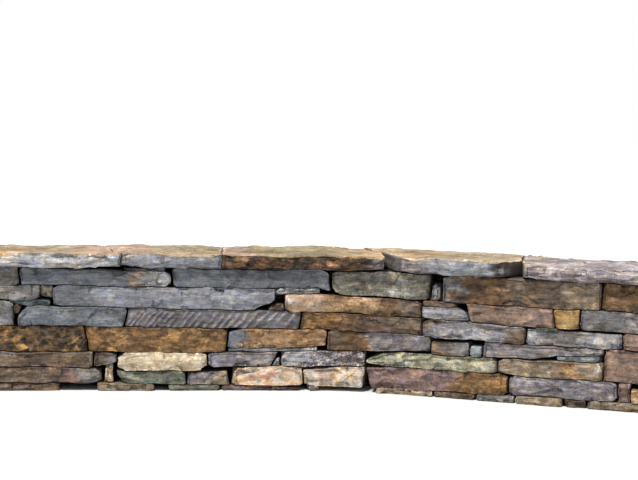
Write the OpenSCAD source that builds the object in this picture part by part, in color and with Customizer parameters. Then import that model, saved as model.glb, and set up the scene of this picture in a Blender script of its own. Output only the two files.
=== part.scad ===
// A length of dry laid garden wall: long split stones in uneven courses,
// small packing stones between them, and thick flagstones along the top.
// Millimetres. X runs along the wall, Y into it and Z up from the ground.
// The front face looks toward -Y. It runs straight, turns forward in a short
// bend and runs straight again. Places along it are counted from the left end.

/* [Wall] */
// Length of the wall, measured along its front face
wall_l = 2440; // [1900:20:3600]
// Height from the ground to the top of an average capstone
wall_h = 448; // [380:2:600]
// Thickness of the wall below the capping
wall_d = 280; // [250:5:420]
// Thickness of the packed rubble between the two faces
core_d = 56; // [40:1:90]
// Length of the straight part before the bend
straight_l = 1170; // [0:10:2400]
// Radius of the bend, taken on the front face
bend_r = 810; // [500:10:4000]
// Angle the wall turns through in the bend
bend_turn = 24.7; // [0:0.1:40]

/* [Face stones] */
// Open joint between two stones of one course
joint = 4; // [2:0.5:10]
// Open joint between two capstones
cap_joint = 3; // [2:0.5:8]
// Clearance at each bed, where one stone lies on another
seat = 0.4; // [0.2:0.1:0.8]
// Clearance between the rubble and the tails of the stones on either side
core_gap = 2; // [1:0.5:4]
// Width of the broken edge around each face
arris = 4; // [2:0.5:6]
// How far the split faces stand in and out of the wall line
relief = 6; // [0:0.5:12]

/* [Capping] */
// Thickness of an average capstone
cap_t = 52; // [36:1:80]
// Overhang of the capping past the front face
cap_front = 25; // [10:1:60]
// Overhang of the capping past the back face
cap_back = 15; // [5:1:60]
// Unevenness of the split top surfaces
cap_riven = 3; // [0:0.5:6]

/* [Hidden] */

// Distance between the marks where a stone's outline may change slope
pitch = wall_l / 32;
// Depth that a face stone reaches into the wall
bed_d = (wall_d - core_d) / 2;

// Rock colours
SLATE = [0.46, 0.50, 0.55];
GREY = [0.50, 0.49, 0.48];
MAUVE = [0.50, 0.44, 0.46];
PLUM = [0.42, 0.31, 0.31];
BROWN = [0.42, 0.35, 0.27];
RUST = [0.50, 0.33, 0.20];
GOLD = [0.55, 0.40, 0.20];
OCHRE = [0.68, 0.50, 0.26];
TAN = [0.62, 0.52, 0.38];
CREAM = [0.76, 0.69, 0.54];
GREEN = [0.44, 0.48, 0.42];
PALE = [0.66, 0.67, 0.66];
TEAL = [0.36, 0.43, 0.43];
RIBBED = [0.38, 0.36, 0.37];
SPECKLED = [0.56, 0.53, 0.50];
VOID = [0, 0, 0];

// Bed lines, ground first. Each is a list of [place along the wall, height].
BEDS = [
    [[0, 0], [2440, 0]],
    [[0, 27], [520, 25], [815, 20], [1010, 15], [1390, 16], [1720, 20], [1880, 26], [2440, 28]],
    [[0, 76], [520, 75], [590, 64], [870, 63], [945, 78], [1190, 80], [1390, 86],
        [1810, 90], [1860, 85], [2150, 89], [2440, 88]],
    [[0, 126], [500, 125], [880, 122], [1110, 128], [1270, 130], [1390, 134], [1815, 139],
        [2150, 146], [2440, 146]],
    [[0, 212], [400, 210], [610, 206], [920, 202], [1530, 199], [1610, 192], [1900, 190], [2440, 189]],
    [[0, 291], [225, 291], [305, 272], [610, 268], [1050, 260], [1560, 254], [1910, 246], [2440, 243]],
    [[0, 342], [755, 335], [1240, 338], [1290, 318], [1590, 309], [1740, 306], [2440, 312]],
    [[0, 396], [2440, 396]]
];
// How much longer and higher the wall is than these lists
kl = wall_l / BEDS[0][1][0];
kh = (wall_h - cap_t) / BEDS[7][0][1];

// Face stones by course, bottom first, each course from left to right.
// Each stone is [length, rock, lean of its right joint, corner cuts, underside, top,
// broken corners, wedged].
// The lean is how far the joint's top lies to the right of its middle.
// The corner cuts are taken off at the lower left, upper left, lower right and upper right.
// The underside and the top follow the bed lines unless heights are given for them.
// The broken corners are [left reach, height off the lower left, height off the upper left]
// and the same three for the right end. A stone marked true is wedged between its neighbours.
// The first and last stone of a course reach through to the back.
STONES = [
    [[130, BROWN], [275, BROWN], [115, VOID], [187, OCHRE], [40, VOID], [168, GREEN], [263, PLUM],
        [20, VOID], [38, GREY], [184, VOID], [188, TAN], [142, BROWN], [128, GREY], [149, TAN],
        [72, BROWN], [191, TAN], [150, BROWN]],
    [[200, BROWN], [338, BROWN, 0, [], [], [], [0, 0, 0, 20, 8, 4]],
        [43, CREAM, 0, [4, 10, 6, 8], [], [82.6, 92]],
        [228, GREEN, 0, [14, 0, 0, 6]], [141, MAUVE, 0, [0, 0, 4, 10], [], [57, 66]],
        [236, CREAM, 0, [0, 8, 0, 0], [], [], [0, 0, 0, 18, 3, 6]],
        [201, SPECKLED, 0, [0, 0, 8, 0], [], [71, 85.8], [16, 6, 3, 0, 0, 0]],
        [465, PLUM, 0, [14, 0, 0, 0], [], [], [0, 0, 0, 16, 5, 8]],
        [345, MAUVE, 0, [], [], [], [18, 5, 8, 16, 7, 6]], [40, PLUM],
        [83, OCHRE, 0, [], [], [72, 72]], [120, BROWN]],
    [[105, BROWN], [404, BROWN], [74, BROWN, 0, [], [76, 92]],
        [293, CREAM, 0, [], [], [], [24, 9, 18, 22, 12, 7]],
        [218, MAUVE, 12, [], [77.6, 79.2], [], [14, 5, 4, 0, 0, 0]], [19, PALE, 0, [], [], [108, 108]],
        [272, SPECKLED], [430, GREEN, 0, [0, 4, 0, 0], [], [], [56, 14, 22, 16, 4, 8]],
        [337, TAN, 0, [], [], [], [22, 6, 10, 0, 0, 0]], [288, VOID]],
    [[190, GOLD], [297, BROWN, -7], [450, GOLD, 5],
        [322, OCHRE, 0, [], [137.5, 144], [], [40, 0, 14, 0, 0, 0]],
        [339, MAUVE, 0, [], [130.8, 144], [], [14, 0, 8, 0, 0, 0]], [128, BROWN, 0, [], [], [181, 182]],
        [42, TEAL, 0, [], [], [173, 174]],
        [384, MAUVE, 0, [], [139, 140, 141, 142, 143, 162, 164, 165.5, 167]],
        [288, PLUM, 0, [], [89.2, 88.2]]],
    [[100, GREY], [158, GREY], [24, BROWN, 0, [0, 0, 14, 0], [244.4, 244.4], [], [], true],
        [329, SLATE, 6, [-16, -14, 0, 0], [], [], [26, 2, 36, 0, 0, 0]],
        [564, RIBBED, 5], [392, RUST], [337, PALE, 0, [], [], [], [34, 2, 12, 12, 3, 5]],
        [303, MAUVE, 0, [], [], [241, 238]], [118, GREEN], [115, PLUM]],
    [[205, GREY], [136, GREY, 0, [], [294, 293]], [36, CREAM, 0, [], [301, 300], [], [], true],
        [715, SLATE, 2, [], [], [], [18, 5, 8, 72, 34, 3]],
        [29, PLUM, 0, [-28, 0, 0, 0], [], [285, 283]],
        [444, TAN, 0, [], [], [316, 308], [10, 3, 3, 0, 0, 0]],
        [150, PALE, -8, [], [], [291, 293], [0, 0, 0, 32, 0, 14]], [276, MAUVE, -4], [81, OCHRE],
        [263, BROWN], [105, RUST]],
    [[120, TAN], [153, GREY], [482, SLATE, 0, [], [], [395.8, 384], [0, 0, 0, 14, 6, 4]],
        [515, SLATE, 0, [4, 0, 0, 8], [], [], [0, 0, 0, 22, 0, 8]],
        [319, GREEN, 0, [], [], [], [18, 9, 6, 12, 6, 0]], [39, MAUVE, 0, [4, 6, 2, 4], [], [366, 364]],
        [510, BROWN, 0, [], [], [], [22, 0, 10, 0, 0, 0]], [172, RUST], [130, TAN]]
];

// Packing stones, each [from, to, rock, what it lies on, what lies on it].
// Both are either a bed line by its number or a face stone by its course and place.
PACKING = [
    [240, 370, TEAL, 5, [5, 1]], [604, 736, GREEN, [6, 2], 7], [1091, 1234, PALE, [5, 5], [6, 3]],
    [1569, 1676, TAN, [5, 6], 6], [1928, 2013, GREEN, [4, 7], 5], [940, 1231, PALE, 3, [3, 3]],
    [2000, 2143, TEAL, 3, [3, 7]]
];

// Back stones by course, only [length, rock]
BACK = [
    [[300, BROWN], [420, GREEN], [260, TAN], [380, GREY], [350, BROWN]],
    [[380, MAUVE], [250, CREAM], [330, BROWN], [420, GREEN], [290, PLUM], [340, GREY]],
    [[290, BROWN], [430, TAN], [240, SLATE], [360, MAUVE], [400, GOLD], [310, BROWN]],
    [[340, GOLD], [410, BROWN], [300, OCHRE], [450, MAUVE], [280, GREY]],
    [[420, SLATE], [260, RUST], [390, GREY], [320, TAN], [350, MAUVE], [270, BROWN]],
    [[300, GREY], [460, SLATE], [280, PLUM], [370, TAN], [250, OCHRE], [340, BROWN]],
    [[360, SLATE], [300, GREEN], [440, GREY], [270, MAUVE], [400, BROWN], [310, RUST]]
];

// Capstones, each [length at the front, rock, slew of its right joint at the back,
// thickness over the average, front overhang over the average, height broken off the
// underside at the left front corner and at the right one, length broken off the front
// at the left corner and at the right one]
CAPS = [
    [190, TAN, -30, 0, -4, 0, 0], [406, PALE, -70, -3, 2, 0, 6], [316, SLATE, 20, -1, 0, 18, 0],
    [551, RUST, -115, 0, 4, 0, 10, 0, 18], [424, SLATE, -45, 2, 0, 8, 8, 44, 64],
    [553, CREAM, 0, 1, 6, 8, 0, 10, 0]
];
// Length over which a capstone's broken corner runs out
cap_break = 72;

// How far the wall has turned at a place, in degrees, and what lies beyond the bend
bend_l = bend_r * bend_turn * PI / 180;
function turn(s) = min(max(s - straight_l, 0) / max(bend_l, 1), 1) * bend_turn;
function beyond(s) = max(s - straight_l - bend_l, 0);
// The front line of the wall
function line_x(s) = min(s, straight_l) + bend_r * sin(turn(s)) + beyond(s) * cos(turn(s));
function line_y(s) = -bend_r * (1 - cos(turn(s))) - beyond(s) * sin(turn(s));
// The point on the ground at a place along the wall and a depth behind its front line
function spot(s, d) = [line_x(s) + d * sin(turn(s)), line_y(s) + d * cos(turn(s))];
middle = spot(wall_l / 2, wall_d / 2);
// The front line and the way into the wall, mark by mark
LINE = [for (m = [0 : ceil(wall_l / pitch) + 1]) let (p = spot(m * pitch, 0))
    [p - middle, spot(m * pitch, 1) - p]];
// A point at a place, a depth and a height, on straight lines from mark to mark
function at(s, d, z) =
    let (
        m = floor(s / pitch),
        t = s / pitch - m,
        p = (LINE[m][0] + d * LINE[m][1]) * (1 - t) + (LINE[m + 1][0] + d * LINE[m + 1][1]) * t
    )
    [p[0], p[1], z];

// A bed line or a list of heights, straight from mark to mark
function bed_at_mark(i, m) = kh * lookup(m * pitch / kl, BEDS[i]);
function bed(i, s) =
    let (m = floor(s / pitch), t = s / pitch - m)
    bed_at_mark(i, m) * (1 - t) + bed_at_mark(i, m + 1) * t;
// Unevenness from -1 to 1 that is the same each time
function uneven(a, b) = sin(a * 113 + b * 71 + 60 * sin(a * 29 + b * 17));

// Length of the first k stones of a course
function run(v, k) = k <= 0 ? 0 : v[k - 1][0] + run(v, k - 1);
function place(v, k) = run(v, k) * wall_l / run(v, len(v));
// A value of a stone, or a stand in where its list is shorter
function field(st, k, other) = len(st) > k && (is_num(st[k]) || len(st[k]) > 0) ? st[k] : other;

// Height of an edge given by even steps between its two ends
function stepped(h, t) =
    let (n = len(h) - 1, k = min(floor(t * n), n - 1), u = t * n - k)
    kh * (h[k] * (1 - u) + h[k + 1] * u);
// Marks that lie clear inside a stretch
function marks(a, b) = [for (m = [ceil((a + 2.5) / pitch) : 1 : floor((b - 2.5) / pitch)]) m * pitch];

// One stone's outline seen from the front: its lower and upper points, left to right.
// c is the course, a and b its ends, la and lb the leans of its joints and gap what it
// leaves open at each end. broken gives the broken corners.
function outline(c, a, b, la = 0, lb = 0, cuts = [0, 0, 0, 0], low = [], top = [], gap = joint / 2,
        broken = [0, 0, 0, 0, 0, 0]) =
    let (
        z0a = low == [] ? bed(c, a) : stepped(low, 0),
        z0b = low == [] ? bed(c, b) : stepped(low, 1),
        z1a = top == [] ? bed(c + 1, a) : stepped(top, 0),
        z1b = top == [] ? bed(c + 1, b) : stepped(top, 1),
        ha = bed(c + 1, a) - bed(c, a),
        hb = bed(c + 1, b) - bed(c, b),
        a0 = a + gap + la * (2 * (z0a - bed(c, a)) / ha - 1) + cuts[0],
        a1 = a + gap + la * (2 * (z1a - bed(c, a)) / ha - 1) + cuts[1],
        b0 = b - gap + lb * (2 * (z0b - bed(c, b)) / hb - 1) - cuts[2],
        b1 = b - gap + lb * (2 * (z1b - bed(c, b)) / hb - 1) - cuts[3],
        sa = max(a0, a1) + broken[0],
        sb = min(b0, b1) - broken[3],
        mid = concat(broken[0] > 0 ? [sa] : [], marks(sa, sb), broken[3] > 0 ? [sb] : []),
        share = function(s) min(max((s - a) / (b - a), 0), 1),
        zl = function(s) (low == [] ? bed(c, s) : stepped(low, share(s))) + (c == 0 ? 0 : seat / 2),
        zt = function(s) (top == [] ? bed(c + 1, s) : stepped(top, share(s))) - seat / 2
    )
    [
        concat([[a0, zl(a0) + broken[1]]], [for (s = mid) [s, zl(s)]], [[b0, zl(b0) + broken[4]]]),
        concat([[a1, zt(a1) - broken[2]]], [for (s = mid) [s, zt(s)]], [[b1, zt(b1) - broken[5]]])
    ];

// Triangles over the front of a ring of 2n points that starts at p. Where the face
// swells, q is the first of the n points along its middle.
function cover(p, q, n, swells) = swells
    ? concat(
        [[p, p + 2 * n - 1, q], [p + n, p + n - 1, q + n - 1]],
        [for (j = [0 : n - 2]) each [[p + j, q + j, q + j + 1], [p + j, q + j + 1, p + j + 1]]],
        [for (j = [0 : n - 2]) let (t = p + 2 * n - 1 - j)
            each [[q + j, t, t - 1], [q + j, t - 1, q + j + 1]]])
    : [for (j = [0 : n - 2]) let (t = p + 2 * n - 1 - j)
        each [[p + j, t, t - 1], [p + j, t - 1, p + j + 1]]];
// Triangles between one ring of m points and the next
function band(p, m) = [for (i = [0 : m - 1]) let (j = (i + 1) % m)
    each [[p + i, p + j, p + m + j], [p + i, p + m + j, p + m + i]]];
function flip(faces) = [for (f = faces) [f[2], f[1], f[0]]];

// A closed skin through rings that run along a lower edge and back along the upper one
module skin(rings, front, back, turned = false) {
    m = len(rings[0]);
    last = len(rings) * m - m;
    faces = concat(
        cover(0, last + m, m / 2, len(front) > 0),
        [for (r = [0 : len(rings) - 2]) each band(r * m, m)],
        flip(cover(last, last + m + len(front), m / 2, len(back) > 0)));
    polyhedron(concat([for (r = rings) each r], front, back), turned ? flip(faces) : faces);
}

// The two edges of an outline as one ring, at one depth
function full_ring(o, d) = concat(
    [for (p = o[0]) at(p[0], d, p[1])],
    [for (k = [len(o[1]) - 1 : -1 : 0]) at(o[1][k][0], d, o[1][k][1])]);
// How far point k of an edge stands in from its corner, short of the next mark
function end_in(e, k, r) =
    let (n = len(e))
    k == 0 ? min(r, 0.6 * (e[1][0] - e[0][0])) : k == n - 1 ? -min(r, 0.6 * (e[k][0] - e[k - 1][0])) : 0;
// The ring where the broken edges meet the face, set in by about r. way points into the stone.
function edge_ring(o, d, way, r, seed) =
    let (n = len(o[0]))
    concat(
        [for (k = [0 : n - 1])
            at(o[0][k][0] + end_in(o[0], k, 1.5 * r), d + way * r * (0.5 + 0.4 * uneven(seed, k)),
                o[0][k][1] + r * (0.8 + 0.4 * uneven(seed + 1, k)))],
        [for (k = [n - 1 : -1 : 0])
            at(o[1][k][0] + end_in(o[1], k, 1.5 * r), d + way * r * (0.5 + 0.4 * uneven(seed + 2, k)),
                o[1][k][1] - r * (0.8 + 0.4 * uneven(seed + 3, k)))]);
// The points along the middle of a face, where it swells
function swelling(o, d, way, r, amount, seed) =
    let (n = len(o[0]))
    [for (k = [0 : n - 1]) let (t = 0.5 + 0.2 * uneven(seed + 4, k))
        at((o[0][k][0] + end_in(o[0], k, r)) * (1 - t) + (o[1][k][0] + end_in(o[1], k, r)) * t,
            d - way * amount * (0.5 + 0.5 * uneven(seed + 5, k)) * (k == 0 || k == n - 1 ? 0 : 1),
            o[0][k][1] * (1 - t) + o[1][k][1] * t)];
// The least height of an outline
function slimmest(o) = min([for (k = [0 : len(o[0]) - 1]) o[1][k][1] - o[0][k][1]]);

// A stone from a split face at depth d0 to its tail at d1. A through stone is split at both.
module face_stone(o, d0, d1, rock, seed, through = false) {
    way = d1 > d0 ? 1 : -1;
    r = min(arris, slimmest(o) / 5);
    off = way * relief / 2 * uneven(seed, 3);
    inner = way * (relief / 2 + 2 * arris);
    color(rock)
    skin(
        concat(
            [edge_ring(o, d0 + off, way, r, seed), full_ring(o, d0 + inner)],
            through
                ? [full_ring(o, d1 - inner), edge_ring(o, d1 - off, -way, r, seed + 40)]
                : [full_ring(o, d1)]),
        swelling(o, d0 + off, way, r, relief / 2, seed),
        through ? swelling(o, d1 - off, -way, r, relief / 2, seed + 40) : [],
        way < 0);
}

// Outline of stone k of course c
function stone_outline(c, k) =
    let (v = STONES[c], st = v[k])
    outline(c, place(v, k), place(v, k + 1), k == 0 ? 0 : field(v[k - 1], 2, 0), field(st, 2, 0),
        field(st, 3, [0, 0, 0, 0]), field(st, 4, []), field(st, 5, []),
        len(st) > 7 ? seat - joint / 2 : joint / 2, field(st, 6, [0, 0, 0, 0, 0, 0]));
function is_left(a, b) = (a + b) / 2 < wall_l / 2;

// The face stones of course c on one side of the middle of the wall, end stones left out
module course(c, left = undef) {
    v = STONES[c];
    for (k = [1 : len(v) - 2])
        if (v[k][1] != VOID && (is_undef(left) || is_left(place(v, k), place(v, k + 1)) == left))
            face_stone(stone_outline(c, k), 0, bed_d, v[k][1], 10 * c + k);
}

// The end stones, which reach from face to face
module end_stones(left) {
    for (c = [0 : len(STONES) - 1]) {
        v = STONES[c];
        k = left ? 0 : len(v) - 1;
        if (v[k][1] != VOID)
            face_stone(stone_outline(c, k), 0, wall_d, v[k][1], 10 * c + k + 200, through = true);
    }
}

// Thin stones that fill the gaps in the courses
function ref_low(r, s) = is_num(r) ? bed(r, s) + seat / 2 : lookup(s, stone_outline(r[0], r[1])[1]) + seat;
function ref_top(r, s) = is_num(r) ? bed(r, s) - seat / 2 : lookup(s, stone_outline(r[0], r[1])[0]) - seat;
module packing() {
    for (k = [0 : len(PACKING) - 1]) {
        p = PACKING[k];
        spots = concat([p[0] * kl], marks(p[0] * kl, p[1] * kl), [p[1] * kl]);
        o = [[for (s = spots) [s, ref_low(p[3], s)]], [for (s = spots) [s, ref_top(p[4], s)]]];
        face_stone(o, 4, bed_d * 0.7, p[2], 300 + k);
    }
}

// Where the end stones of course c leave off
function inner_start(c) = place(STONES[c], 1);
function inner_end(c) = place(STONES[c], len(STONES[c]) - 1);

// The back face of course c
module back_course(c) {
    v = BACK[c];
    a = inner_start(c);
    scale_l = (inner_end(c) - a) / run(v, len(v));
    for (k = [0 : len(v) - 1])
        face_stone(outline(c, a + run(v, k) * scale_l, a + run(v, k + 1) * scale_l),
            wall_d, wall_d - bed_d, v[k][1], 400 + 10 * c + k);
}

// The packed rubble between the two faces, laid in layers with each course
LAYER = [[1, 1.2, 0.9, 1.1, 0.8], [0.8, 1, 1.1, 0.9, 1.2]];
function layer_end(v, k) = k <= 0 ? 0 : v[k - 1] + layer_end(v, k - 1);
module hearting(left) {
    for (c = [0 : len(STONES) - 1]) {
        v = LAYER[c % 2];
        a = inner_start(c);
        step = (inner_end(c) - a) / layer_end(v, len(v));
        for (k = [0 : len(v) - 1]) {
            p = a + layer_end(v, k) * step;
            q = a + layer_end(v, k + 1) * step;
            if (is_left(p, q) == left) {
                o = outline(c, p, q);
                color(BROWN)
                skin([full_ring(o, bed_d + core_gap), full_ring(o, wall_d - bed_d - core_gap)], [], []);
            }
        }
    }
}

// Capstone k, from its joint a to its joint b at the front
cap_depth = wall_d + cap_front + cap_back;
function slew(k, d) = k < 0 ? 0 : CAPS[k][2] * (d + cap_front) / cap_depth;
// How far field i of a capstone, one of its broken corners, reaches at a depth
function broken_at(k, i, d) = field(CAPS[k], i, 0) * max(0, 1 - (d + cap_front) / cap_break);
function is_broken(k, side) = CAPS[k][5 + side] > 0 || field(CAPS[k], 7 + side, 0) > 0;
function cap_outline(k, d) =
    let (
        a = place(CAPS, k) + cap_joint / 2,
        b = place(CAPS, k + 1) - cap_joint / 2,
        sa = a + max(slew(k - 1, 0), slew(k - 1, wall_d + cap_back), 0) + (is_broken(k, 0) ? cap_break : 0),
        sb = b + min(slew(k, 0), slew(k, wall_d + cap_back), 0) - (is_broken(k, 1) ? cap_break : 0),
        mid = concat(is_broken(k, 0) ? [sa] : [], marks(sa + 6, sb - 6), is_broken(k, 1) ? [sb] : []),
        s = concat([a + slew(k - 1, d) + broken_at(k, 7, d)], mid, [b + slew(k, d) - broken_at(k, 8, d)]),
        low = wall_h - cap_t + seat / 2,
        high = low + cap_t + CAPS[k][3],
        last = len(s) - 1
    )
    [[for (j = [0 : last])
            [s[j], low + (j == 0 ? broken_at(k, 5, d) : 0) + (j == last ? broken_at(k, 6, d) : 0)]],
        [for (j = [0 : last]) [s[j], high + cap_riven / 2 * uneven(k * 9 + j, d)]]];

module capstone(k) {
    front = -cap_front - CAPS[k][4];
    back = wall_d + cap_back;
    r = arris * 1.6;
    full = [front + 2.5 * arris, front + 0.36 * cap_depth, front + 0.7 * cap_depth, back - 2.5 * arris];
    color(CAPS[k][1])
    skin(
        concat(
            [edge_ring(cap_outline(k, front), front, 1, r, 500 + k)],
            [for (d = full) full_ring(cap_outline(k, d), d)],
            [edge_ring(cap_outline(k, back), back, -1, r, 520 + k)]),
        swelling(cap_outline(k, front), front, 1, r, relief, 540 + k),
        swelling(cap_outline(k, back), back, -1, r, relief / 2, 560 + k));
}

course(0);  // footing_stones
course(1, true);  // course_1_left
course(1, false);  // course_1_right
course(2, true);  // course_2_left
course(2, false);  // course_2_right
course(3, true);  // course_3_left
course(3, false);  // course_3_right
course(4, true);  // course_4_left
course(4, false);  // course_4_right
course(5, true);  // course_5_left
course(5, false);  // course_5_right
course(6, true);  // course_6_left
course(6, false);  // course_6_right
end_stones(true);  // end_stones_left
end_stones(false);  // end_stones_right
packing();  // packing_stones
back_course(0);  // back_footing
back_course(1);  // back_course_1
back_course(2);  // back_course_2
back_course(3);  // back_course_3
back_course(4);  // back_course_4
back_course(5);  // back_course_5
back_course(6);  // back_course_6
hearting(true);  // hearting_left
hearting(false);  // hearting_right
capstone(0);  // cap_1
capstone(1);  // cap_2
capstone(2);  // cap_3
capstone(3);  // cap_4
capstone(4);  // cap_5
capstone(5);  // cap_6
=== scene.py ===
# %% [markdown]
# # A low dry stone wall
# The wall is laid without mortar from long split stones, under thick flagstone caps.
# The solid model already gives each stone its place and outline. This lesson adds what a
# cut solid lacks: split faces, broken edges, stains and wear.
# One length unit is a metre. X runs along the wall, Y goes into it and Z goes up.

# %% Load the solid model
import math
from types import SimpleNamespace

import bpy
import numpy as np
from mathutils import Matrix, Vector


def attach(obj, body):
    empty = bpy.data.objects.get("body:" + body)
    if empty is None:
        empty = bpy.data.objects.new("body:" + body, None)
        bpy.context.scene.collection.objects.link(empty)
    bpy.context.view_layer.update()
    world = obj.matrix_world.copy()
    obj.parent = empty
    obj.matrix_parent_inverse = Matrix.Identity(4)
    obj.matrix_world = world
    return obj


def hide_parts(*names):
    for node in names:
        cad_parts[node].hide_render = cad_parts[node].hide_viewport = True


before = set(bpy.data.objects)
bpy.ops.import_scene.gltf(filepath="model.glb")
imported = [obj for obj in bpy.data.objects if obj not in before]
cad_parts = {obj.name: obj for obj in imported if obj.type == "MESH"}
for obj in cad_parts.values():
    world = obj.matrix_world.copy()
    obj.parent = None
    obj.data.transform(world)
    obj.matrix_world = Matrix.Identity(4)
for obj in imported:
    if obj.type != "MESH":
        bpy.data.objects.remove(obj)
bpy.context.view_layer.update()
print("solid model:", len(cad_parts), "nodes")

# %% [markdown]
# ## The plan line
# The real wall runs straight, bends forward once and runs straight again. Thickness,
# joints and wear are easier to think of along the wall than in X and Y.
# A curve object with a deform modifier could carry stones round the bend, but the solids
# are bent already. So each point is only given a second set of numbers: its place along
# the front face, its depth behind that face and its height.

# %% Plan line
LENGTH, THICK = 2.44, 0.28
STRAIGHT, RADIUS, TURN = 1.17, 0.81, math.radians(24.7)
half_turn = (LENGTH / 2 - STRAIGHT) / RADIUS
mid_radius = RADIUS + THICK / 2
middle_x = STRAIGHT + mid_radius * math.sin(half_turn)
MIDDLE = np.array([middle_x, mid_radius * math.cos(half_turn) - RADIUS])


def to_wall(co):
    """Place along the wall, depth behind the front face and height of each point."""
    x, y = co[:, 0] + MIDDLE[0], co[:, 1] + MIDDLE[1]
    angle = np.clip(np.arctan2(x - STRAIGHT, y + RADIUS), 0, TURN)
    s, c = np.sin(angle), np.cos(angle)
    along = (x - STRAIGHT) * c - (y + RADIUS) * s
    depth = (x - STRAIGHT) * s + (y + RADIUS) * c - RADIUS
    return np.stack([STRAIGHT + RADIUS * angle + along, depth, co[:, 2]], 1)


def directions(w):
    """The directions along the wall and into it at each point, as X, Y and Z."""
    turn = np.clip((w[:, 0] - STRAIGHT) / RADIUS, 0, TURN)
    ahead = np.stack([np.cos(turn), -np.sin(turn), 0 * turn], 1)
    return ahead, np.stack([-ahead[:, 1], ahead[:, 0], 0 * turn], 1)


print("middle of the plan line:", MIDDLE.round(4))

# %% [markdown]
# ## Seeded noise
# Split stone is uneven at every scale, from the swell of a face down to its grit.
# A displace modifier could do that, but it knows nothing of edges, joints and beds.
# Value noise in plain arrays does: each lattice point gets a fixed number, and the numbers
# are blended in between. Large primes stir each lattice point and its seed into that
# number, so nothing is drawn at random and each run gives the same wall.

# %% Noise
PRIMES = np.array([374761393, 668265263, 1274126177])
SEED_PRIME = 974711
ALL_BITS, HALF_BITS = 0xFFFFFFFF, 0xFFFF


def lattice(i, seed):
    """A fixed number from 0 to 1 for each lattice point."""
    h = ((i * PRIMES).sum(1) + seed * SEED_PRIME) & ALL_BITS
    h = ((h ^ (h >> 13)) * PRIMES[2]) & ALL_BITS
    return ((h ^ (h >> 16)) & HALF_BITS) / HALF_BITS


def noise(p, seed=0):
    """Smooth noise from 0 to 1 with cells of one unit."""
    i = np.floor(p).astype(np.int64)
    f = p - i
    f = f * f * (3 - 2 * f)
    out = np.zeros(len(p))
    for k in range(8):
        corner = np.array([k & 1, (k >> 1) & 1, k >> 2])
        out += lattice(i + corner, seed) * np.where(corner, f, 1 - f).prod(1)
    return out


def layered(p, seed=0, octaves=3):
    """Noise with finer noise on it, from 0 to 1."""
    total = sum(noise(p * 2.03**k, seed + 7 * k) * 0.5**k for k in range(octaves))
    return total / (2 - 0.5 ** (octaves - 1))


def step(x, low, high):
    """0 below low, 1 above high and smooth in between."""
    t = np.clip((x - low) / (high - low), 0, 1)
    return t * t * (3 - 2 * t)


print("noise sample:", noise(np.array([[0.5, 0.2, 0.1]])).round(3))

# %% [markdown]
# ## Reading a solid
# One node of the solid model holds all the stones of a course. A person sees where one
# stone ends, but the mesh is only a list of triangles.
# Separating loose parts in Blender would make an object of each stone. It is enough to
# number them: triangles that share a corner belong to the same stone.

# %% Points, triangles and stones
SAME_PLACE = 1e-5


def welded(node):
    """Points and triangles of a solid, with each corner kept once."""
    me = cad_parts[node].data
    me.calc_loop_triangles()
    co = np.empty(len(me.vertices) * 3)
    me.vertices.foreach_get("co", co)
    tri = np.empty(len(me.loop_triangles) * 3, np.int32)
    me.loop_triangles.foreach_get("vertices", tri)
    co = co.reshape(-1, 3)
    place = np.round(co / SAME_PLACE).astype(np.int64)
    _, first, back = np.unique(place, axis=0, return_index=True, return_inverse=True)
    tri = back.ravel()[tri].reshape(-1, 3)
    return co[first], tri[(tri != np.roll(tri, -1, 1)).all(1)]


def stones_of(count, tri):
    """The stone that each point belongs to, as a number from 0."""
    label = np.arange(count)
    while True:
        low = label[tri].min(1)
        new = label.copy()
        for k in range(3):
            np.minimum.at(new, tri[:, k], low)
        new = new[new]
        if (new == label).all():
            return np.unique(label, return_inverse=True)[1].ravel()
        label = new


corners, faces = welded("course_1_left")
found = stones_of(len(corners), faces).max() + 1
print("course_1_left:", len(faces), "triangles,", found, "stones")

# %% [markdown]
# ## Splitting long edges
# A solid stone has a few dozen faces, too few to carry a split face.
# A subdivision modifier would give its hidden tail as many new faces as its front.
# Here only edges that are too long for their place are halved, again and again. Both
# triangles on an edge are cut at the same point, so the mesh stays closed.

# %% Refine
def halved(v, m, cuts, co):
    """New triangles from corners v and edge middles m, for each number of cut edges."""
    parts = []
    p, q = v[cuts == 1], m[cuts == 1]
    parts += [(p[:, 0], q[:, 0], p[:, 2]), (q[:, 0], p[:, 1], p[:, 2])]
    p, q = v[cuts == 2], m[cuts == 2]
    parts += [(q[:, 0], p[:, 1], q[:, 1])]
    across = np.linalg.norm(co[q[:, 0]] - co[p[:, 2]], axis=1)
    near = np.linalg.norm(co[p[:, 0]] - co[q[:, 1]], axis=1) < across
    p1, q1, p2, q2 = p[near], q[near], p[~near], q[~near]
    parts += [(p1[:, 0], q1[:, 0], q1[:, 1]), (p1[:, 0], q1[:, 1], p1[:, 2])]
    parts += [(p2[:, 0], q2[:, 0], p2[:, 2]), (q2[:, 0], q2[:, 1], p2[:, 2])]
    p, q = v[cuts == 3], m[cuts == 3]
    parts += [(p[:, 0], q[:, 0], q[:, 2]), (q[:, 0], p[:, 1], q[:, 1])]
    parts += [(q[:, 2], q[:, 1], p[:, 2]), (q[:, 0], q[:, 1], q[:, 2])]
    return [v[cuts == 0]] + [np.stack(part, 1) for part in parts]


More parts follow.
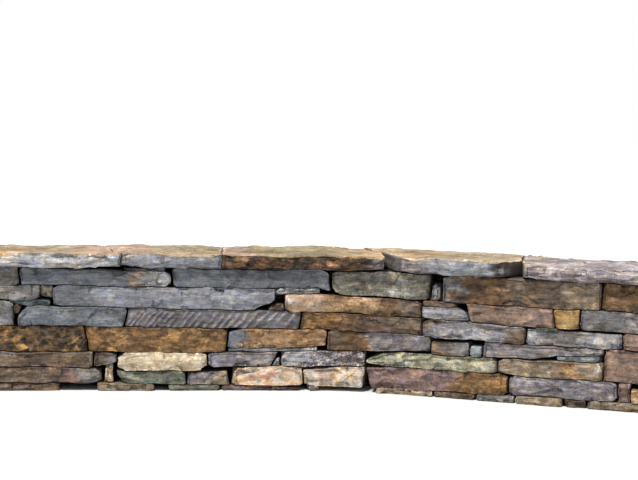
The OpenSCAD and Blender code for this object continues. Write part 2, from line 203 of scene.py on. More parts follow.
def refine(co, tri, label, target, passes=10):
    """Splits edges at their middle until none is longer than its target."""
    for _ in range(passes):
        ends = np.sort(np.stack([tri, np.roll(tri, -1, 1)], 2), 2).reshape(-1, 2).astype(np.int64)
        edge, side = np.unique(ends[:, 0] * len(co) + ends[:, 1], return_inverse=True)
        a, b = edge // len(co), edge % len(co)
        mid = (co[a] + co[b]) / 2
        long = np.linalg.norm(co[a] - co[b], axis=1) > target(mid)
        if not long.any():
            break
        number = np.full(len(edge), -1)
        number[long] = len(co) + np.arange(long.sum())
        co, label = np.concatenate([co, mid[long]]), np.concatenate([label, label[a[long]]])
        m = number[side.ravel()].reshape(-1, 3)
        cuts = (m >= 0).sum(1)
        first_cut, after_whole = (m >= 0).argmax(1), ((m < 0).argmax(1) + 1) % 3
        turn = np.where(cuts == 1, first_cut, np.where(cuts == 2, after_whole, 0))
        order = (turn[:, None] + np.arange(3)) % 3
        v, m = np.take_along_axis(tri, order, 1), np.take_along_axis(m, order, 1)
        tri = np.concatenate(halved(v, m, cuts, co))
    return co, tri, label


trial = refine(corners, faces, np.zeros(len(corners), int), lambda p: np.full(len(p), 0.02))
print("with no edge over 20 mm:", len(trial[1]), "triangles")

# %% [markdown]
# ## Wearing edges round
# Frost and feet take the sharpness off an edge first. Sculptors use a smooth brush for
# that. In numbers, each point moves towards the middle of its neighbours: points on a
# flat face stay, and points on an edge sink in. How far a point sinks also tells how
# sharp its edge is, which the finish uses later for fresh rock, for a painted highlight
# on upper edges and for painted shade in hollows and on lower edges.

# %% Normals and wear
def gathered(at, rows, count):
    """The sum of the rows that belong to each point."""
    return np.stack([np.bincount(at, column, count) for column in rows.T], 1)


def normals(co, tri):
    """The outward direction at each point."""
    n = np.cross(co[tri[:, 1]] - co[tri[:, 0]], co[tri[:, 2]] - co[tri[:, 0]])
    out = sum(gathered(tri[:, k], n, len(co)) for k in range(3))
    return out / np.maximum(np.linalg.norm(out, axis=1), 1e-12)[:, None]


def softened(co, tri, weight, times):
    """Each point moves towards the middle of its neighbours, as far as its weight says."""
    pairs = np.unique(np.sort(np.concatenate([tri[:, :2], tri[:, 1:], tri[:, ::2]]), 1), axis=0)
    a, b = pairs.T
    count = np.bincount(np.concatenate([a, b]), minlength=len(co))[:, None]
    out = co.copy()
    for _ in range(times):
        total = gathered(a, out[b], len(co)) + gathered(b, out[a], len(co))
        out += weight[:, None] * (total / count - out)
    return out


def farthest_mm(co, old):
    """How far the point that moved most has moved, in millimetres."""
    return round(np.linalg.norm(co - old, axis=1).max() * 1000, 1)


worn = softened(trial[0], trial[1], np.full(len(trial[0]), 0.5), 2)
print("sharpest corner sinks", farthest_mm(worn, trial[0]), "mm in two passes")

# %% [markdown]
# ## Rock kinds
# The stones come from several beds of one quarry region: blue-grey slate, brown and
# golden iron-stained beds, cream sandstone, and greenish and plum siltstone.
# A picture as texture would need one for each stone. A short table does the same job and
# can be tuned one kind at a time: a main tone, a second tone and a stain, each as it
# looks on a screen, and five numbers for how banded, stained, speckled, stepped and
# rough the kind is.

# %% Rock kinds
ROCKS = {
    "slate": ((116, 119, 124), (92, 95, 102), (136, 137, 138), 0.4, 0.4, 0.2, 0.7, 0.2),
    "blue": ((142, 143, 150), (116, 118, 126), (160, 159, 160), 0.4, 0.4, 0.2, 0.7, 0.3),
    "grey": ((122, 119, 118), (92, 90, 90), (146, 134, 118), 0.4, 0.4, 0.35, 0.7, 0.6),
    "mauve": ((136, 131, 134), (98, 93, 99), (166, 152, 138), 0.6, 0.5, 0.25, 0.9, 0.5),
    "rose": ((135, 113, 101), (106, 90, 84), (160, 136, 116), 0.5, 0.5, 0.3, 0.6, 0.5),
    "plum": ((130, 108, 104), (98, 82, 82), (158, 132, 114), 0.5, 0.5, 0.35, 0.8, 0.6),
    "brown": ((112, 96, 82), (80, 70, 62), (142, 112, 82), 0.6, 0.5, 0.35, 0.8, 0.6),
    "umber": ((98, 78, 58), (40, 35, 31), (174, 136, 86), 0.4, 0.65, 0.4, 0.8, 0.8),
    "dark": ((92, 74, 60), (44, 38, 36), (156, 116, 78), 0.5, 0.55, 0.4, 1.1, 0.9),
    "rust": ((106, 82, 58), (66, 52, 42), (148, 118, 84), 0.6, 0.5, 0.35, 0.9, 0.6),
    "gold": ((130, 100, 65), (86, 65, 46), (166, 131, 86), 0.4, 0.55, 0.5, 0.5, 0.8),
    "ochre": ((160, 130, 97), (120, 92, 68), (186, 160, 126), 0.5, 0.55, 0.35, 0.8, 0.5),
    "bright": ((156, 129, 86), (126, 96, 60), (184, 162, 122), 0.4, 0.4, 0.2, 0.5, 0.4),
    "tan": ((150, 134, 114), (112, 98, 84), (192, 180, 162), 0.5, 0.5, 0.3, 0.8, 0.6),
    "cream": ((202, 190, 168), (176, 157, 130), (220, 212, 200), 0.4, 0.5, 0.2, 0.9, 0.35),
    "stained": ((206, 193, 182), (198, 166, 128), (180, 120, 108), 0.3, 0.6, 0.3, 1.0, 0.7),
    "milk": ((200, 189, 178), (190, 163, 130), (152, 118, 102), 0.3, 0.5, 0.4, 1.0, 0.8),
    "green": ((123, 119, 109), (92, 91, 85), (160, 154, 141), 0.4, 0.45, 0.8, 1.0, 0.9),
    "sage": ((112, 114, 100), (82, 86, 78), (146, 144, 128), 0.4, 0.4, 0.4, 0.6, 0.6),
    "dun": ((164, 160, 138), (116, 116, 100), (192, 190, 172), 0.4, 0.55, 0.35, 1.2, 0.7),
    "pale": ((147, 144, 146), (108, 106, 110), (172, 167, 161), 0.5, 0.45, 0.25, 1.2, 0.5),
    "teal": ((98, 108, 110), (62, 72, 76), (140, 148, 148), 0.5, 0.3, 0.2, 0.5, 0.4),
    "mist": ((138, 146, 152), (112, 120, 126), (166, 171, 175), 0.4, 0.3, 0.2, 0.5, 0.4),
    # a near black tone that paints shade on the shaded end of a cap
    "dusk": ((66, 57, 57), (48, 42, 44), (92, 84, 82), 0.4, 0.4, 0.2, 0.9, 0.5),
    "ribbed": ((106, 103, 106), (82, 80, 84), (120, 110, 100), 0.3, 0.3, 0.2, 0.3, 0.3),
    "speckled": ((158, 152, 155), (78, 74, 80), (118, 94, 76), 0.2, 0.4, 2.6, 0.8, 1.2),
    "white": ((186, 185, 187), (148, 149, 156), (200, 186, 162), 0.5, 0.4, 0.15, 1.2, 0.4),
    "buff": ((168, 151, 127), (146, 124, 98), (194, 183, 168), 0.4, 0.55, 0.3, 0.6, 0.5),
    "olive": ((150, 136, 108), (128, 112, 84), (178, 166, 144), 0.4, 0.5, 0.3, 0.6, 0.5),
    "orange": ((170, 146, 115), (146, 114, 82), (200, 190, 172), 0.4, 0.55, 0.3, 0.6, 0.5),
    "blush": ((178, 152, 131), (152, 124, 104), (200, 187, 172), 0.3, 0.5, 0.3, 0.6, 0.4),
    "pink": ((170, 160, 160), (126, 118, 124), (206, 200, 196), 0.9, 0.45, 0.2, 1.4, 0.5),
    "rubble": ((84, 74, 64), (58, 50, 44), (110, 92, 70), 0.2, 0.4, 0.5, 0.5, 1.0),
}
NAMES = list(ROCKS)


def linear(c):
    """A tone from 0 to 255 as a screen shows it, as the amount of light that Blender mixes."""
    return ((c / 255 + 0.055) / 1.055) ** 2.4


rows = [[linear(c) for tone in row[:3] for c in tone] + list(row[3:]) for row in ROCKS.values()]
TABLE = np.array(rows)
MAIN, SECOND, STAIN, HABIT = slice(0, 3), slice(3, 6), slice(6, 9), slice(9, 12)
BANDED, STEPPED, ROUGH = 9, 12, 13
print(len(NAMES), "kinds of rock, each with", TABLE.shape[1], "numbers")

# %% [markdown]
# ## Which stone is which
# A mason mixes the kinds, so that no patch of wall has only one colour. A random choice
# would leave the look to luck. So each course lists its stones from left to right.
# A stone may change its kind along its length: "slate .78 tan" is slate for the first 78
# hundredths and then tan. The stones that close the ends are listed from the lowest up.
# Caps have worn tops in warmer kinds, which stand in a list of their own.

# %% Stones
FACES = {
    "footing_stones": "brown, tan, sage, plum, grey, tan, brown, grey, tan, brown, tan",
    "course_1_left": "brown .6 plum .85 grey, cream, sage, mauve .5 tan, ochre .06 stained",
    "course_1_right": "milk, plum .62 gold, mauve, plum, ochre",
    "course_2_left": "grey .3 brown, brown .5 mauve, cream, mauve, pale",
    "course_2_right": "white .12 speckled, dun, tan .6 ochre .78 tan",
    "course_3_left": "umber, gold, slate .12 ochre",
    "course_3_right": "brown .14 rust .4 mauve .8 grey, brown .4 grey, mist, mauve",
    "course_4_left": "grey, brown, slate, ribbed",
    "course_4_right": "gold .24 rust .38 dark .66 brown, rust .07 pale .85 brown, "
                      "pale .2 mauve .3 grey .5 pale, rose",
    "course_5_left": "grey, green, slate .2 blue, plum",
    "course_5_right": "blush .2 ochre .6 rust .9 brown, pale, rose, bright, grey .6 mauve",
    "course_6_left": "grey, slate .74 ochre .80 white, slate",
    "course_6_right": "green, pale, grey .12 rust .45 brown .8 tan, rust",
    "end_stones_left": "brown, brown, grey, gold, grey, slate, tan",
    "end_stones_right": "brown, ochre, rose, mauve, rust, tan",
    "packing_stones": "teal, mauve, white, white, brown, sage, mist",
    "back_footing": "brown, sage, tan, grey, brown",
    "back_course_1": "mauve, cream, brown, sage, plum, grey",
    "back_course_2": "brown, tan, slate, mauve, gold, brown",
    "back_course_3": "gold, brown, ochre, mauve, grey",
    "back_course_4": "slate, rust, grey, tan, mauve, brown",
    "back_course_5": "grey, slate, plum, tan, ochre, brown",
    "back_course_6": "slate, sage, grey, mauve, brown, rust",
    "hearting_left": "rubble",
    "hearting_right": "rubble",
    "cap_1": "tan",
    "cap_2": "ochre .1 white",
    "cap_3": "blue",
    "cap_4": "dark .55 dark .9 grey",
    # the last stretch of cap_5 is painted shade
    "cap_5": "plum .1 mauve .5 blue .87 dusk",
    "cap_6": "pink",
}
TOPS = {
    "cap_1": "buff",
    "cap_2": "orange .3 buff .7 blush",
    "cap_3": "blush .4 buff .8 olive",
    "cap_4": "blush .2 olive .7 orange",
    "cap_5": "orange .45 buff",
    "cap_6": "buff .08 pink",
}
print(sum(len(v.split(",")) for v in FACES.values()), "stones described in", len(FACES), "nodes")

# %% [markdown]
# ## How fine each spot has to be
# The front of the wall is looked at from nearby, the back and the ends less often, and
# the tails of the stones not at all. One mesh size for all would waste most triangles.
# So the longest edge allowed grows with the distance behind each visible side. Just
# under the surface it doesn't grow yet, because flakes and the split reach in there.

# %% Mesh size
CAP_FRONT, CAP_BACK, CAP_TOP = 0.025, 0.015, 0.447
CAP_EDGE, CAP_COARSER = 0.0054, 0.0042
FRONT_EDGE, BACK_EDGE, END_EDGE, TAIL_EDGE = 0.0048, 0.0105, 0.0085, 0.09


def growth(inside, skin, rate):
    """What is added to the longest edge at a depth inside, from under the skin on."""
    return np.maximum(inside - skin, 0) * rate


def longest_edge(w, cap):
    """Longest edge allowed at a point: short on the outside of the wall and long inside."""
    ends = np.minimum(w[:, 0], LENGTH - w[:, 0])
    if cap:
        front, back = w[:, 1] + CAP_FRONT, THICK + CAP_BACK - w[:, 1]
        inside = np.minimum(np.minimum(front, back), np.minimum(CAP_TOP - w[:, 2], ends))
        return CAP_EDGE + CAP_COARSER * step(front, 0.01, 0.06) + growth(inside, 0.014, 0.6)
    sides = ((FRONT_EDGE, w[:, 1]), (BACK_EDGE, THICK - w[:, 1]), (END_EDGE, ends))
    allowed = [finest + growth(inside, 0.010, 0.7) for finest, inside in sides]
    return np.minimum(np.minimum.reduce(allowed), TAIL_EDGE)


depths = np.array([[1.0, d, 0.2] for d in (0, 0.05, 0.14)])
edges = longest_edge(depths, False).round(4)
print("longest edge at the front, 50 mm in and in the middle:", edges)

# %% [markdown]
# ## The stones of one node
# Each stone has its own place in the quarry, so its grain must not run on into the next
# stone. In a material, a random number per object would do that, but here many stones
# share an object. So each point also gets a grain place: its place in the wall, moved
# some metres away, differently for each stone. What is known of a node's stones is kept
# together: the mesh, which stone a point belongs to (label), its place in the wall (w),
# the box of each stone (low and high), their order (rank), numbers that no other stone
# has (key), and how much a point is skin: 1 on the outside, 0 deep in the wall.

# %% Stones of a node
RUBBLE_EDGE = 0.05
APART = 7


def stones(node):
    """Fine mesh of a node, with the stone, the wall place and the grain place of each point."""
    s = SimpleNamespace(node=node, cap=node.startswith("cap"), rubble=node.startswith("hearting"))
    co, tri = welded(node)
    label = stones_of(len(co), tri)

    def allowed(p):
        return np.full(len(p), RUBBLE_EDGE) if s.rubble else longest_edge(to_wall(p), s.cap)

    s.co, s.tri, s.label = refine(co, tri, label, allowed)
    s.w = to_wall(s.co)
    s.count = s.label.max() + 1
    s.low = np.array([s.w[s.label == k].min(0) for k in range(s.count)])
    s.high = np.array([s.w[s.label == k].max(0) for k in range(s.count)])
    s.rank = np.argsort(np.argsort((s.low + s.high)[:, 2 if node.startswith("end") else 0]))
    seed = sum(map(ord, node)) % 997
    s.key = np.stack([np.arange(s.count) * 1.7, s.rank * 2.3, np.full(s.count, seed * 0.37)], 1)
    shift = np.stack([noise(s.key + [k, 0, 0], 5 + k) for k in range(3)], 1)
    s.grain = s.w + (shift * APART)[s.label]
    fine = longest_edge(s.w, s.cap)
    s.skin = np.ones(len(s.co)) if s.rubble else step(0.02 - fine, 0, 0.01)
    s.ahead, s.inward = directions(s.w)
    s.inside = np.minimum(s.w[:, 0], LENGTH - s.w[:, 0])
    return s


sample = stones("course_4_left")
print("course_4_left:", sample.count, "stones,", len(sample.tri), "triangles")

# %% [markdown]
# ## The kind of rock along a stone
# One stone can pass from slate into a rusty seam. A gradient with two stops would show as
# a straight stripe. So the border leans a little and wanders with noise, a few
# millimetres to a few centimetres, and the two kinds blend over a short stretch.
# The worn tops of the caps get kinds of their own, with calmer stains.

# %% Kinds along a stone
SEAM_WANDER, SEAM_BLUR = 0.17, 0.026
TOP_FACE, CALMER = 0.6, 0.45


def looks_along(text, along, wobble, blur):
    """The row of the table that each point takes, blended where one kind passes into the next."""
    words = text.split()
    look = np.repeat(TABLE[NAMES.index(words[0])][None], len(along), 0)
    for k in range(1, len(words), 2):
        share = step(along + wobble, float(words[k]) - blur, float(words[k]) + blur)[:, None]
        look = look * (1 - share) + TABLE[NAMES.index(words[k + 1])] * share
    return look


def choose_rock(s):
    """Gives each point its row of the table of rocks."""
    texts = [t.strip() for t in FACES[s.node].split(",")]
    along = (s.w[:, 0] - s.low[s.label, 0]) / (s.high - s.low)[s.label, 0]
    wander = layered(s.grain / [0.045, 0.045, 0.02], 3) - 0.5
    s.look = np.zeros((len(s.co), TABLE.shape[1]))
    for k in range(s.count):
        mine = s.label == k
        span = s.high[k, 0] - s.low[k, 0]
        middle = (s.low[k, 2] + s.high[k, 2]) / 2
        lean = (noise(s.key[k:k + 1], 9) - 0.5) * 2 * (s.w[mine, 2] - middle)
        wobble = (wander[mine] * SEAM_WANDER + lean) / span
        text = texts[s.rank[k] % len(texts)]
        s.look[mine] = looks_along(text, along[mine], wobble, SEAM_BLUR / span)
    if s.cap:
        top = normals(s.co, s.tri)[:, 2] > TOP_FACE
        look = looks_along(TOPS[s.node], along[top], wander[top] * 0.4, 0.05)
        for tone in (SECOND, STAIN):
            look[:, tone] = (1 - CALMER) * look[:, tone] + CALMER * look[:, MAIN]
        s.look[top] = look


choose_rock(sample)
print("most stepped rock in course_4_left:", sample.look[:, STEPPED].max().round(2))

# %% [markdown]
# ## Tight joints and set-back faces
# A mason picks stones that nearly touch at the face, and sets each a little further in or
# out. The solids leave an even 4 mm between stones, which looks laid with spacers.
# Moving whole stones would open gaps elsewhere. So only the rims near the face reach
# towards the neighbours, in some places more than in others, and each front is set back
# by up to 6 mm while its tail stays.

# %% Tight joints
CAP_REACH, RIM_REACH, RIM_DEPTH = 0.0027, 0.0044, 0.011
SET_BACK, TAIL = 0.006, 0.05


def close_joints(s):
    """Rims of the stones reach towards their neighbours, and each face is set back its own way."""
    up = normals(s.co, s.tri)
    if s.cap:
        end_face = (up * s.ahead).sum(1) * (0.4 + 0.6 * step(s.w[:, 1], -0.02, 0.03))
        s.co = s.co + s.ahead * (CAP_REACH * end_face)[:, None]
        return
    tight = step(layered(s.w / [0.05, 0.2, 0.03], 17, 2), 0.26, 0.54)
    near = np.minimum(np.abs(s.w[:, 1]), np.abs(THICK - s.w[:, 1]))
    along = (up * s.ahead).sum(1)[:, None]
    rim = up + 0.4 * s.ahead * along - s.inward * (up * s.inward).sum(1)[:, None]
    s.co = s.co + rim * (RIM_REACH * tight * np.clip(1 - near / RIM_DEPTH, 0, 1) ** 1.5)[:, None]
    set_back = SET_BACK * noise(s.key * 3.1, 19)[s.label]
    front = np.clip(1 - s.w[:, 1] / TAIL, 0, 1)
    back = np.clip(1 - (THICK - s.w[:, 1]) / TAIL, 0, 1)
    s.co = s.co + s.inward * (set_back * front)[:, None]
    s.co = s.co - s.inward * (set_back * back)[:, None]


before = sample.co
close_joints(sample)
print("rims and faces move up to", farthest_mm(sample.co, before), "mm")

# %% [markdown]
# ## Flakes struck off the edges
# A hammer blow on an edge takes off a flake and leaves a small flat facet that slopes from
# one side to the other. Cutting each flake with a boolean would be slow and fragile.
# A facet is a plane, though, and a point outside the plane can simply be pushed back onto
# it. Each stretch of each edge gets a plane of its own size and slope, and some get none.

# %% Reach of a stone
def reach(w, label, count, across, along, cell):
    """Lowest and highest place of each stone across, measured in cells along it."""
    low, high = np.zeros(len(w)), np.zeros(len(w))
    for k in range(count):
        mine = np.flatnonzero(label == k)
        at = w[mine, along]
        n = max(int((at.max() - at.min()) / cell), 1)
        i = np.clip(((at - at.min()) / cell).astype(int), 0, n)
        lows, highs = np.full(n + 1, 9.0), np.full(n + 1, -9.0)
        np.minimum.at(lows, i, w[mine, across])
        np.maximum.at(highs, i, w[mine, across])
        has = highs > -9
        middle = at.min() + (np.flatnonzero(has) + 0.5) * cell
        low[mine] = np.interp(at, middle, lows[has])
        high[mine] = np.interp(at, middle, highs[has])
    return low, high


bottom, top_edge = reach(sample.w, sample.label, sample.count, 2, 0, 0.012)
print("course_4_left is", round((top_edge - bottom).max() * 1000), "mm high at most")

# %% Flakes
# sides: front F, back K, top T, bottom B, left L and right R, and the edges between them
EDGES = ("FT", "FB", "FL", "FR", "KT", "KB", "KL", "KR", "LT", "LB", "RT", "RB")
FLAKE_LONG, FLAKE_HIGH, SPARED = 0.055, 0.035, 0.3
BED_FLAKE, END_FLAKE = 0.012, 0.009
CAP_BIGGER, CAP_ENDS = 1.5, 0.45


def strike_flakes(s):
    """Pushes the edges of the stones onto planes."""
    w, label = s.w, s.label
    bottom, top = reach(w, label, s.count, 2, 0, 0.012)
    left, right = reach(w, label, s.count, 0, 2, 0.008)
    face = np.array([w[label == k, 1].min() for k in range(s.count)])[label]
    rear = np.array([w[label == k, 1].max() for k in range(s.count)])[label]
    # for each side the distance behind it, its axis and the way into the stone
    side = {
        "F": (w[:, 1] - face, 1, 1), "K": (rear - w[:, 1], 1, -1),
        "B": (w[:, 2] - bottom, 2, 1), "T": (top - w[:, 2], 2, -1),
        "L": (w[:, 0] - left, 0, 1), "R": (right - w[:, 0], 0, -1),
    }
    move = np.zeros((len(w), 3))
    for k, pair in enumerate(EDGES):
        (p, pa, ps), (q, qa, qs) = side[pair[0]], side[pair[1]]
        run = 3 - pa - qa
        spot = s.grain[:, run] / (FLAKE_LONG if run == 0 else FLAKE_HIGH)
        n = np.floor(spot).astype(np.int64)
        row = np.stack([n, label * 13, np.full(len(w), k)], 1)
        slope, tilt = 0.35 + 0.6 * lattice(row, 91), lattice(row, 92) - 0.5
        amount = np.maximum(lattice(row, 90) - SPARED, 0) / (1 - SPARED)
        amount = amount * (1 + 1.6 * tilt * (spot - n - 0.5))
        amount = amount * np.clip((0.5 - np.abs(spot - n - 0.5)) * 6, 0, 1)
        deepest = BED_FLAKE if pair[1] in "TB" else END_FLAKE
        if s.cap:
            deepest *= CAP_ENDS if pair[0] in "LR" else CAP_BIGGER
        t = np.maximum(deepest * amount - p - slope * q, 0) / (1 + slope) * s.skin
        move[:, pa] += ps * t
        move[:, qa] += qs * t
    s.co = s.co + s.ahead * move[:, :1] + s.inward * move[:, 1:2] + [0, 0, 1] * move[:, 2:]


before = sample.co
strike_flakes(sample)
print("flakes are up to", farthest_mm(sample.co, before), "mm deep")

# %% [markdown]
# ## Worn edges, lit and shaded
# Broken edges show fresher, lighter rock. On top of that, upper edges get a painted
# highlight, as if light from above caught them, and lower edges and hollows get painted
# shade. Blender has a pointiness output for that, but it is lost when a model is exported.
# So the sharpness is measured here and kept on the points as a number: above 0 on an edge
# that sticks out and faces up or sideways, below 0 in a hollow and on an edge that faces down.

# %% Worn edges
FULLY_SHARP = 0.0018
# the first number weighs fresh rock on every sharp edge, the second a painted highlight on upward
# edges and painted shade on downward ones
EDGE_WEAR, EDGE_LIGHT_FROM_ABOVE = 0.45, 0.95


def wear_edges(s):
    """Rounds the edges a little and measures how sharp they were."""
    worn = softened(s.co, s.tri, 0.5 * s.skin, 6)
    s.up = normals(s.co, s.tri)
    sharp = np.clip(-((worn - s.co) * s.up).sum(1) / FULLY_SHARP, -1, 1)
    # painted highlight on upper edges and painted shade on lower edges, by the way each edge faces
    s.washed = sharp * np.where(sharp > 0, EDGE_WEAR + EDGE_LIGHT_FROM_ABOVE * s.up[:, 2], 1)
    s.crumbled = step(layered(s.grain / 0.03, 13), 0.56, 0.74) * np.clip(sharp, 0, 1)
    s.co = softened(s.co, s.tri, 0.45 * s.skin, 2)


wear_edges(sample)
print("share of points on sharp edges:", round((sample.washed > 0.3).mean(), 3))

# %% [markdown]
# ## Split faces
# Stone splits along flat plates, and the split jumps from one plate to the next in small
# ledges. Plain noise looks like clay, because it has no flats.
# Three fields are mixed instead: noise cut into flat levels for the plates, cells with
# their own height and tilt for broken facets, and thin bands for ledges in banded rock.
# All of it is taken off, up to a centimetre, and faces inside a joint stay nearly flat.

# %% Broken facets
FACET_TILT = 4.0


def facets(p, seed):
    """Broken planes: each cell of the plane has its own height, tilt and tone."""
    cell = np.floor(p).astype(np.int64)
    best = np.full(len(p), 9.0)
    out, tone = np.zeros(len(p)), np.zeros(len(p))
    for i in (-1, 0, 1):
        for j in (-1, 0, 1):
            c = np.column_stack([cell + [i, j], np.zeros(len(p), np.int64)])
            r = [lattice(c, seed + k) for k in range(6)]
            d = p - c[:, :2] - np.stack(r[:2], 1)
            far = (d**2).sum(1)
            near = far < best
            best = np.where(near, far, best)
            slope = (r[3] - 0.5) * d[:, 0] + (r[4] - 0.5) * d[:, 1]
            out = np.where(near, r[2] + FACET_TILT * slope, out)
            tone = np.where(near, r[5], tone)
    return out, tone


print("facet heights:", facets(np.array([[0.2, 0.3], [2.7, 1.1]]), 81)[0].round(2))

# %% [markdown]
# ## How deep the split goes
# The three fields are added up in millimetres, each by as much as the kind of rock asks
# for: slate is nearly flat, broken ironstone is full of facets. Lumps and grit come on
# top, and the lumps also bend the borders of the facets, which would be too straight.

# %% Depth of the split
PLATE_MM, FACET_MM, LEDGE_MM, LUMP_MM, GRIT_MM = 2.8, 6.0, 4.2, 2.0, 1.4
CAP_PLATE, PLATE = [0.085, 0.085, 0.03], [0.11, 0.06, 0.028]
CAP_TOP_FACET, CAP_SIDE_FACET, FACET = [0.12, 0.10], [0.06, 0.022], [0.085, 0.042]


def split_faces(s):
    """How many millimetres the split takes off at each point."""
    plates = layered(s.grain / (CAP_PLATE if s.cap else PLATE), 21, 2) * 4
    plates = (np.floor(plates) + step(plates % 1, 0.30, 0.62)) / 4
    s.lumps = layered(s.grain / 0.022, 41)
    if s.cap:
        top = (s.up[:, 2] > TOP_FACE)[:, None]
        spot = np.where(top, s.grain[:, :2] / CAP_TOP_FACET, s.grain[:, ::2] / CAP_SIDE_FACET)
    else:
        spot = s.grain[:, ::2] / FACET
    broken, s.tone = facets(spot + 0.35 * (s.lumps[:, None] - 0.5), 81)
    ledges = step(noise(s.grain / [0.12, 0.12, 0.011] + 0.3 * s.lumps[:, None], 31), 0.35, 0.65)
    grit = noise(s.grain / 0.0065, 51)
    s.cut = s.look[:, STEPPED] * (PLATE_MM * plates + FACET_MM * broken)
    s.cut = s.cut + LEDGE_MM * ledges * s.look[:, BANDED] ** 1.5
    s.cut = s.cut + LUMP_MM * s.lumps + GRIT_MM * grit * s.look[:, ROUGH]


split_faces(sample)
print("the split takes off up to", round(sample.cut.max(), 1), "mm")

# %% [markdown]
# ## The ribbed stone
# One slate shows slanted ribs, like the ripples of an old lake bed, fine at its left end
# and wider to the right. An array of bars would look added on.
# A count that rises along the stone, slanted by the height, gives the ribs as its
# fractions. It rises as a logarithm, so that the spacing grows from 18 to 34 mm.

# %% Ribs
RIB_LEAN, RIB_COUNT, RIB_WIDENING, RIB_MM = 0.8, 33.0, 0.58, 5.0


def cut_ribs(s):
    """Slanted grooves across the ribbed stone in place of its split."""
    s.rib = np.zeros(len(s.co))
    if "ribbed" not in FACES[s.node]:
        return
    ribbed = step(s.look[:, STEPPED], 0.36, 0.30)
    slant = (s.w[:, 0] - RIB_LEAN * s.w[:, 2]) + 0.010 * (s.lumps - 0.5)
    run = np.maximum(slant - (s.low[s.label, 0] - RIB_LEAN * s.low[s.label, 2]), 0)
    number = RIB_COUNT * np.log(1 + run / RIB_WIDENING)
    number = number + 0.35 * noise(s.grain / [0.04, 0.05, 0.2], 61)
    rib = step(np.abs((number % 1) - 0.5) * 2, 0.30, 0.90)
    rib = rib * step(noise(s.grain / [0.03, 0.05, 0.02], 63), 0.10, 0.45)
    rise = (s.w[:, 2] - s.low[s.label, 2]) / (s.high - s.low)[s.label, 2]
    rib = rib * (1 - step(rise, 0.72, 0.92))
    s.cut = s.cut * (1 - ribbed) + ribbed * (RIB_MM * (1 - rib) + LUMP_MM * s.lumps)
    # kept for the finish, which paints the ridges lighter as a painted highlight and the grooves a
    # little darker as painted shade
    s.rib = rib * ribbed


cut_ribs(sample)
print("share of points on ribs:", round((sample.rib > 0.5).mean(), 3))

# %% [markdown]
# ## Wandering joints
# Hand-laid courses are never straight: a bed rises over a thick spot and sinks after it.
# If each stone wandered by itself, joints would gape and faces would collide.
# So the wander depends only on the place in the wall, and neighbours share it. The caps
# also move a little to and fro with their depth, which breaks their straight joints.

# %% Wander
BROAD_MM, FINE_MM, CAP_JOINT_MM = 8.0, 2.4, 9.0


def waves(w):
    """How far the courses wander along the wall and in height, in metres."""
    broad, fine = w / [0.055, 0.09, 0.032], w / [0.016, 0.05, 0.012]
    at_caps = step(w[:, 2], 0.37, 0.41)
    bend = CAP_JOINT_MM * at_caps * (noise(w / [0.4, 0.075, 0.5], 75) - 0.5)
    x = BROAD_MM * (layered(broad, 71, 2) - 0.5) + FINE_MM * (noise(fine, 72) - 0.5) + bend
    lower = broad * [0.8, 1, 1.2]
    z = BROAD_MM * (layered(lower, 73, 2) - 0.5) + FINE_MM * (noise(fine, 74) - 0.5)
    return x * 0.001, z * 0.001 * step(w[:, 2], 0.0, 0.03)


widest = np.abs(waves(sample.w)[0]).max() * 1000
print("widest wander in course_4_left:", round(widest, 1), "mm")

# %% [markdown]
# ## The split is cut in
# Beds and joints inside a wall are flatter than its face, because a mason keeps the flat
# sides of a stone for them. A vertex group could hold the split back there, but it would
# have to be painted. Here the direction of each spot tells it: level spots are beds, and
# spots that look along the wall are joints, except at its two ends, where they show.

# %% Cut and wander
FLAT_BED, FLAT_CAP, FLAT_JOINT = 0.8, 0.45, 0.85
CRUMBLE_MM, TAKEN = 4.0, 0.8


def cut_in(s):
    """Takes the split off the stones and lets the courses wander. None goes below the floor."""
    flat = step(np.abs(s.up[:, 2]), 0.7, 0.95) * (FLAT_CAP if s.cap else FLAT_BED)
    sideways = np.abs((s.up * s.ahead).sum(1))
    s.joint = step(sideways, 0.55, 0.9) * step(s.inside, 0.01, 0.03) * FLAT_JOINT
    crumble = CRUMBLE_MM * s.crumbled * (1 - 0.6 * s.joint)
    cut = s.cut * (1 - np.maximum(flat, s.joint)) + crumble
    s.co = s.co - s.up * (cut * 0.001 * s.skin * TAKEN)[:, None]
    if not s.rubble:
        x, z = waves(s.w)
        s.co = s.co + s.ahead * x[:, None]
        s.co[:, 2] += z
    s.co[:, 2] = np.maximum(s.co[:, 2], 0)


before = sample.co
cut_in(sample)
print("cut and wander move a point up to", farthest_mm(sample.co, before), "mm")

# %% [markdown]
# ## From solid to dressed stone
# The steps now run one after the other for a whole node. What the finish needs later is
# kept on the points, because an attribute moves with the mesh and a texture projected in
# space doesn't. Painted shade darkens the courses behind their face, the joints of the caps
# and the hearting.

# %% Dressed stone
# painted shade in the joints: where it starts and where it is full behind the face, and how strong
# it is
SHADE_FROM, SHADE_FULL = 0.012, 0.035
COURSE_SHADE, CAP_SHADE, RUBBLE_SHADE = 0.75, 0.8, 0.45


def grime(s):
    """How much painted shade darkens each point, from 0 to 1."""
    if s.cap:
        return s.joint * CAP_SHADE
    if s.rubble:
        return np.full(len(s.co), RUBBLE_SHADE)
    # the painted shade grows with the depth behind the face and inside the wall ends
    depth = np.minimum(s.w[:, 1], THICK - s.w[:, 1])
    behind, within = [step(d, SHADE_FROM, SHADE_FULL) for d in (depth, s.inside)]
    return behind * within * COURSE_SHADE


